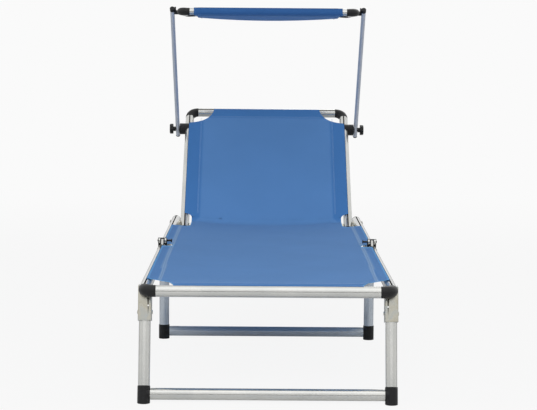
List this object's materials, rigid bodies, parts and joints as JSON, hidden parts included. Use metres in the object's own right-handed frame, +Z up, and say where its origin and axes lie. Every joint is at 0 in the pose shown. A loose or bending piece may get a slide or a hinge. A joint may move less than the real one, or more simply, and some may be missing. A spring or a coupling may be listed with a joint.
{
  "type": "sun lounger with canopy",
  "caption": "Low folding sun lounger: grooved tube frame with stretched cloth, reclining backrest, folding legs and a small tilting canopy on two clamped arms.",
  "frame": {"origin": "on the floor, under the middle of the whole lounger", "axes": "+X to the viewer's right when seen from the foot end, +Y from the foot end to the head end, +Z up"},
  "size_m": [0.581, 1.791, 0.8557],
  "materials": {
    "tube": "satin silver-white",
    "bracket": "bright pressed steel",
    "plastic": "black moulded",
    "bed_cloth": "woven mesh cloth",
    "canopy_cloth": "woven cloth"
  },
  "bodies": {
    "seat_section": {"seat_cloth": "bed_cloth", "seat_rail_left": "tube", "seat_rail_right": "tube", "fold_fork_left": "plastic", "fold_fork_right": "plastic", "recline_bracket_left": "bracket", "recline_bracket_right": "bracket", "mid_leg_bracket_left": "bracket", "mid_leg_bracket_right": "bracket", "rear_leg_bracket_left": "bracket", "rear_leg_bracket_right": "bracket"},
    "foot_section": {"foot_bar": "tube", "foot_cloth": "bed_cloth", "foot_rail_left": "tube", "foot_rail_right": "tube", "foot_corner_left": "plastic", "foot_corner_right": "plastic", "fold_knuckle_left": "plastic", "fold_knuckle_right": "plastic", "front_leg_bracket_left": "bracket", "front_leg_bracket_right": "bracket"},
    "front_leg": {"front_leg_crossbar": "tube", "front_leg_post_left": "tube", "front_leg_post_right": "tube", "front_leg_foot_left": "plastic", "front_leg_foot_right": "plastic"},
    "mid_leg": {"mid_leg_crossbar": "tube", "mid_leg_post_left": "tube", "mid_leg_post_right": "tube", "mid_leg_foot_left": "plastic", "mid_leg_foot_right": "plastic"},
    "rear_leg": {"rear_leg_crossbar": "tube", "rear_leg_post_left": "tube", "rear_leg_post_right": "tube", "rear_leg_foot_left": "plastic", "rear_leg_foot_right": "plastic"},
    "backrest": {"back_bar": "tube", "back_cloth": "bed_cloth", "back_rail_left": "tube", "back_rail_right": "tube", "back_corner_left": "plastic", "back_corner_right": "plastic", "arm_clamp_left": "plastic", "arm_clamp_right": "plastic"},
    "canopy_arms": {"canopy_arm_left": "tube", "canopy_arm_right": "tube", "arm_head_left": "plastic", "arm_head_right": "plastic"},
    "canopy": {"canopy_front_bar": "tube", "canopy_rear_bar": "tube", "canopy_cover": "canopy_cloth", "canopy_side_left": "tube", "canopy_side_right": "tube", "canopy_front_corner_left": "plastic", "canopy_front_corner_right": "plastic", "canopy_rear_corner_left": "plastic", "canopy_rear_corner_right": "plastic"},
    "knob_left": {"clamp_knob_left": "plastic"},
    "knob_right": {"clamp_knob_right": "plastic"}
  },
  "joints": [
    {"name": "foot_section_fold", "type": "hinge", "parent": "seat_section", "child": "foot_section", "pos_m": [0, -0.12412, 0.263], "axis": [-1, 0, 0], "range_deg": [0, 115]},
    {"name": "front_leg_fold", "type": "hinge", "parent": "foot_section", "child": "front_leg", "pos_m": [0, -0.83812, 0.188], "axis": [1, 0, 0], "range_deg": [0, 103]},
    {"name": "mid_leg_fold", "type": "hinge", "parent": "seat_section", "child": "mid_leg", "pos_m": [0, -0.02912, 0.188], "axis": [1, 0, 0], "range_deg": [0, 90]},
    {"name": "rear_leg_fold", "type": "hinge", "parent": "seat_section", "child": "rear_leg", "pos_m": [0, 0.62288, 0.188], "axis": [-1, 0, 0], "range_deg": [0, 129]},
    {"name": "backrest_recline", "type": "hinge", "parent": "seat_section", "child": "backrest", "pos_m": [0, 0.50088, 0.239], "axis": [-1, 0, 0], "range_deg": [-25, 38.5]},
    {"name": "canopy_arm_swing", "type": "hinge", "parent": "backrest", "child": "canopy_arms", "pos_m": [0, 0.8241, 0.4961], "axis": [-1, 0, 0], "range_deg": [-30, 95]},
    {"name": "canopy_tilt", "type": "hinge", "parent": "canopy_arms", "child": "canopy", "pos_m": [0, 0.45697, 0.83965], "axis": [-1, 0, 0], "range_deg": [-80, 80]},
    {"name": "knob_left_turn", "type": "hinge", "parent": "canopy_arms", "child": "knob_left", "pos_m": [-0.2817, 0.8241, 0.4961], "axis": [-1, 0, 0], "continuous": true},
    {"name": "knob_right_turn", "type": "hinge", "parent": "canopy_arms", "child": "knob_right", "pos_m": [0.2817, 0.8241, 0.4961], "axis": [1, 0, 0], "continuous": true}
  ]
}
